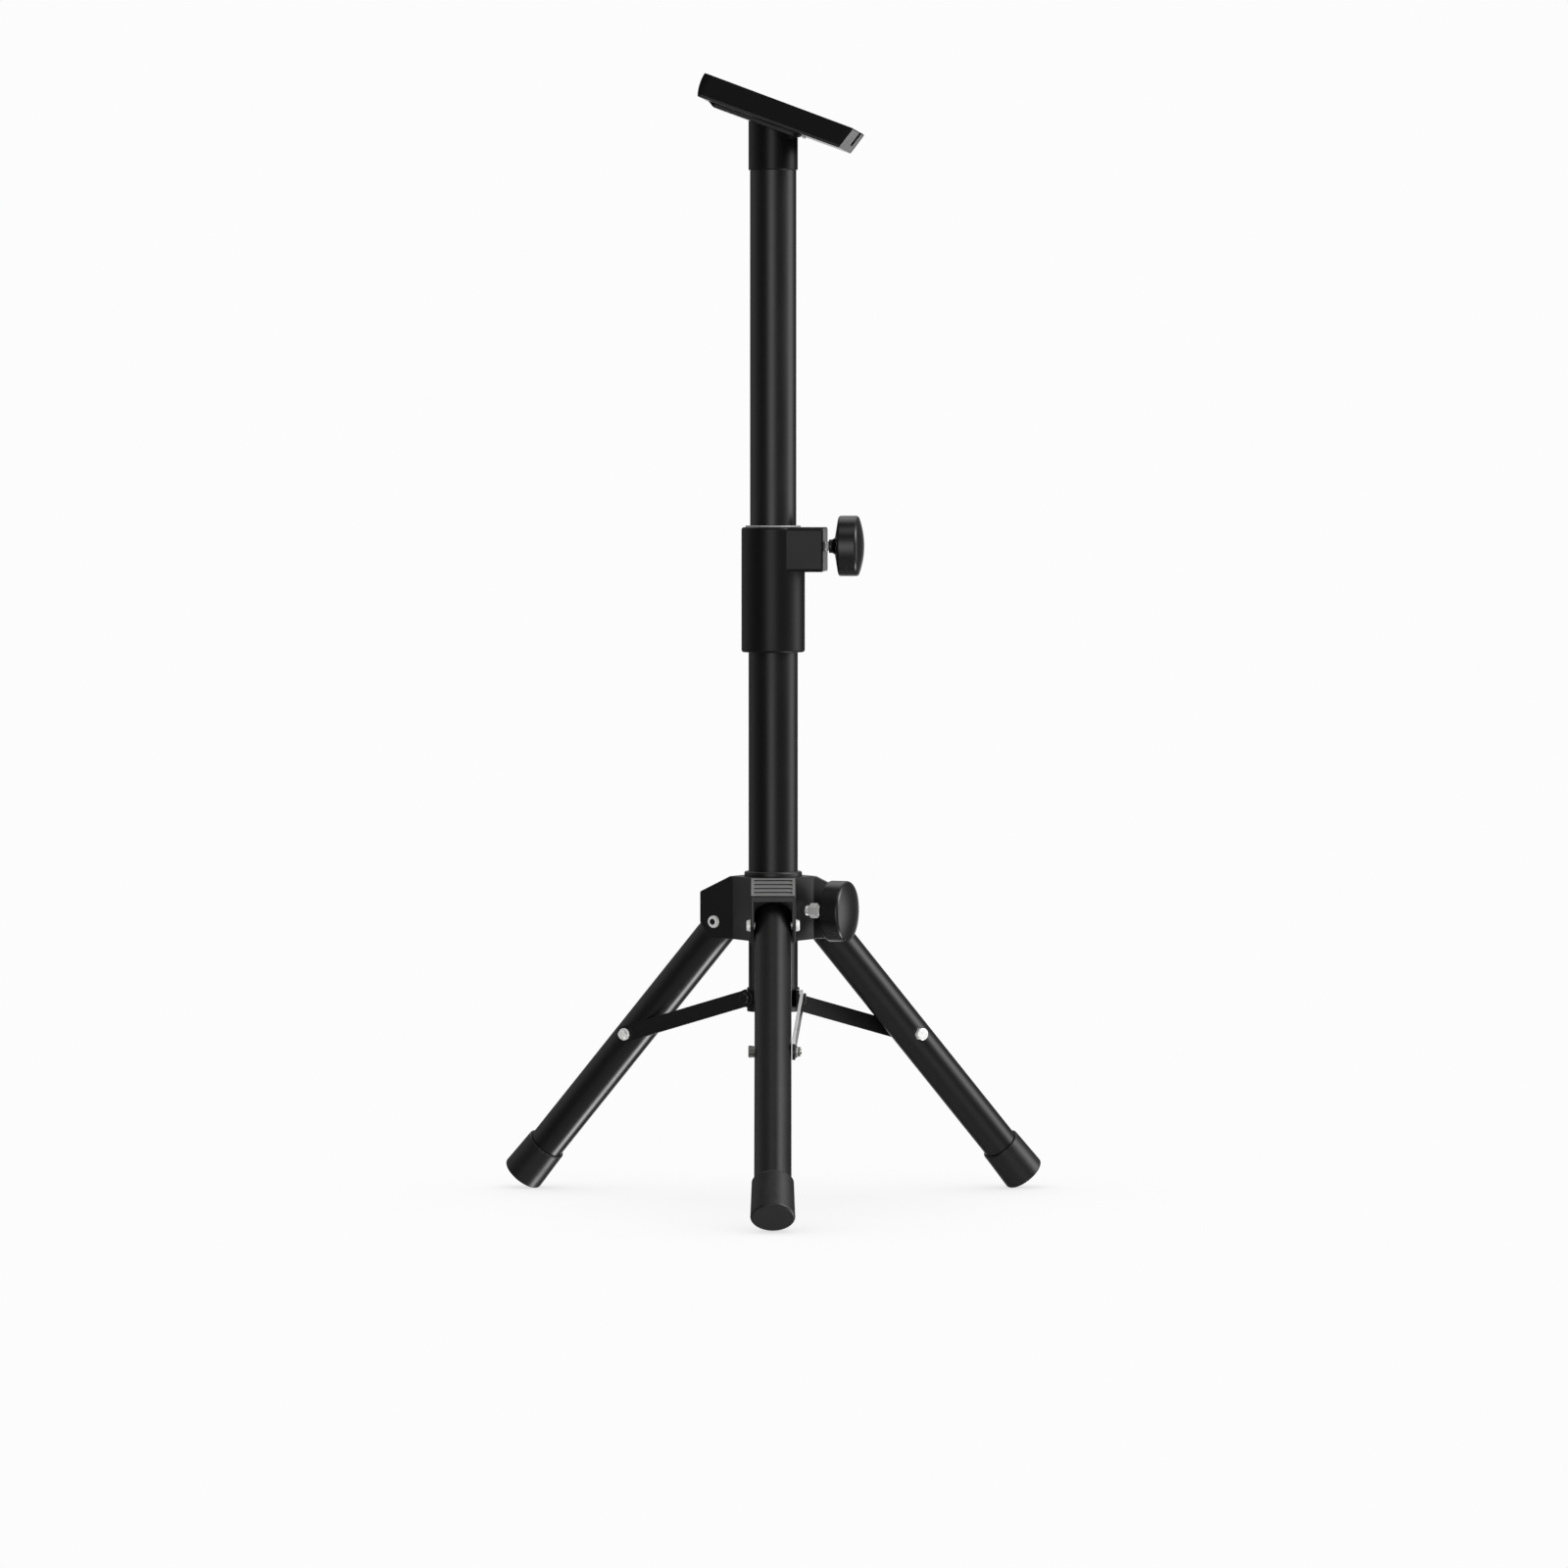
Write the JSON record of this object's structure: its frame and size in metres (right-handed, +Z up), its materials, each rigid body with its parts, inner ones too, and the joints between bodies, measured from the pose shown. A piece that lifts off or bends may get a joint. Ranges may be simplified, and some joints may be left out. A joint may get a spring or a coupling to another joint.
{
  "type": "folding tripod stand",
  "caption": "Black folding tripod stand with a telescopic mast, a tilted head tray, a sliding hub, braced tube legs with rubber feet, and round clamp knobs.",
  "frame": {"origin": "on the floor, under the middle of the stand's box", "axes": "+Z up along the mast, -Y along the front leg, +X towards the lower end of the head"},
  "size_m": [0.4206, 0.3688, 0.8657],
  "materials": {
    "tube_paint": "satin",
    "brace_paint": "satin",
    "moulding": "satin",
    "bush": "satin",
    "rubber": "matte",
    "zinc": "bright zinc"
  },
  "bodies": {
    "hub": {"hub_body": "moulding", "hub_ring": "moulding", "leg_pivot_bolt_front": "zinc", "leg_pivot_bolt_right": "zinc", "leg_pivot_bolt_left": "zinc"},
    "hub_knob": {"hub_knob": "moulding", "hub_screw": "zinc"},
    "mast": {"lower_tube": "tube_paint", "clamp_collar": "moulding", "clamp_bush": "bush", "brace_collar": "brace_paint", "brace_pivot_front": "brace_paint", "brace_pivot_right": "brace_paint", "brace_pivot_left": "brace_paint"},
    "clamp_knob": {"clamp_knob": "moulding", "clamp_screw": "zinc"},
    "upper_mast": {"upper_tube": "tube_paint"},
    "head": {"head_tray": "moulding", "head_pan": "moulding", "head_socket": "moulding"},
    "leg_front": {"leg_tube_front": "tube_paint", "foot_cap_front": "rubber", "leg_rivet_front": "zinc"},
    "brace_front": {"brace_bar_front": "brace_paint", "brace_rivet_front": "zinc"},
    "leg_right": {"leg_tube_right": "tube_paint", "foot_cap_right": "rubber", "leg_rivet_right": "zinc"},
    "brace_right": {"brace_bar_right": "brace_paint", "brace_rivet_right": "zinc"},
    "leg_left": {"leg_tube_left": "tube_paint", "foot_cap_left": "rubber", "leg_rivet_left": "zinc"},
    "brace_left": {"brace_bar_left": "brace_paint", "brace_rivet_left": "zinc"}
  },
  "joints": [
    {"name": "fold", "type": "slide", "parent": "hub", "child": "mast", "axis": [0, 0, -1], "range_m": [0, 0.1636]},
    {"name": "mast_height", "type": "slide", "parent": "mast", "child": "upper_mast", "axis": [0, 0, 1], "range_m": [-0.2671, 0.03]},
    {"name": "head_swivel", "type": "hinge", "parent": "upper_mast", "child": "head", "pos_m": [0, 0.05518, 0.81597], "axis": [0, 0, 1], "continuous": true},
    {"name": "clamp_knob_turn", "type": "hinge", "parent": "mast", "child": "clamp_knob", "pos_m": [0.04011, 0.05132, 0.50567], "axis": [0.9954, -0.0958, 0], "range_deg": [0, 360]},
    {"name": "hub_knob_turn", "type": "hinge", "parent": "hub", "child": "hub_knob", "pos_m": [0.03709, 0.0402, 0.22567], "axis": [0.9272, -0.3746, 0], "range_deg": [0, 360]},
    {"name": "leg_front_swing", "type": "hinge", "parent": "hub", "child": "leg_front", "pos_m": [0, 0.01238, 0.21607], "axis": [1, 0, 0], "range_deg": [0, 30.42]},
    {"name": "brace_front_swing", "type": "hinge", "parent": "mast", "child": "brace_front", "pos_m": [0.0205, 0.04318, 0.15807], "axis": [-1, 0, 0], "range_deg": [0, 77.79]},
    {"name": "leg_right_swing", "type": "hinge", "parent": "hub", "child": "leg_right", "pos_m": [0.03707, 0.07658, 0.21607], "axis": [-0.5, 0.866, 0], "range_deg": [0, 30.42]},
    {"name": "brace_right_swing", "type": "hinge", "parent": "mast", "child": "brace_right", "pos_m": [0.00014, 0.07894, 0.15807], "axis": [0.5, -0.866, 0], "range_deg": [0, 77.79]},
    {"name": "leg_left_swing", "type": "hinge", "parent": "hub", "child": "leg_left", "pos_m": [-0.03707, 0.07658, 0.21607], "axis": [-0.5, -0.866, 0], "range_deg": [0, 30.42]},
    {"name": "brace_left_swing", "type": "hinge", "parent": "mast", "child": "brace_left", "pos_m": [-0.02064, 0.04343, 0.15807], "axis": [0.5, 0.866, 0], "range_deg": [0, 77.79]}
  ],
  "couplings": [
    {"joint": "leg_front_swing", "follows": "fold", "rad_per_m": 3.2439},
    {"joint": "brace_front_swing", "follows": "fold", "rad_per_m": 8.298},
    {"joint": "leg_right_swing", "follows": "fold", "rad_per_m": 3.2439},
    {"joint": "brace_right_swing", "follows": "fold", "rad_per_m": 8.298},
    {"joint": "leg_left_swing", "follows": "fold", "rad_per_m": 3.2439},
    {"joint": "brace_left_swing", "follows": "fold", "rad_per_m": 8.298}
  ]
}
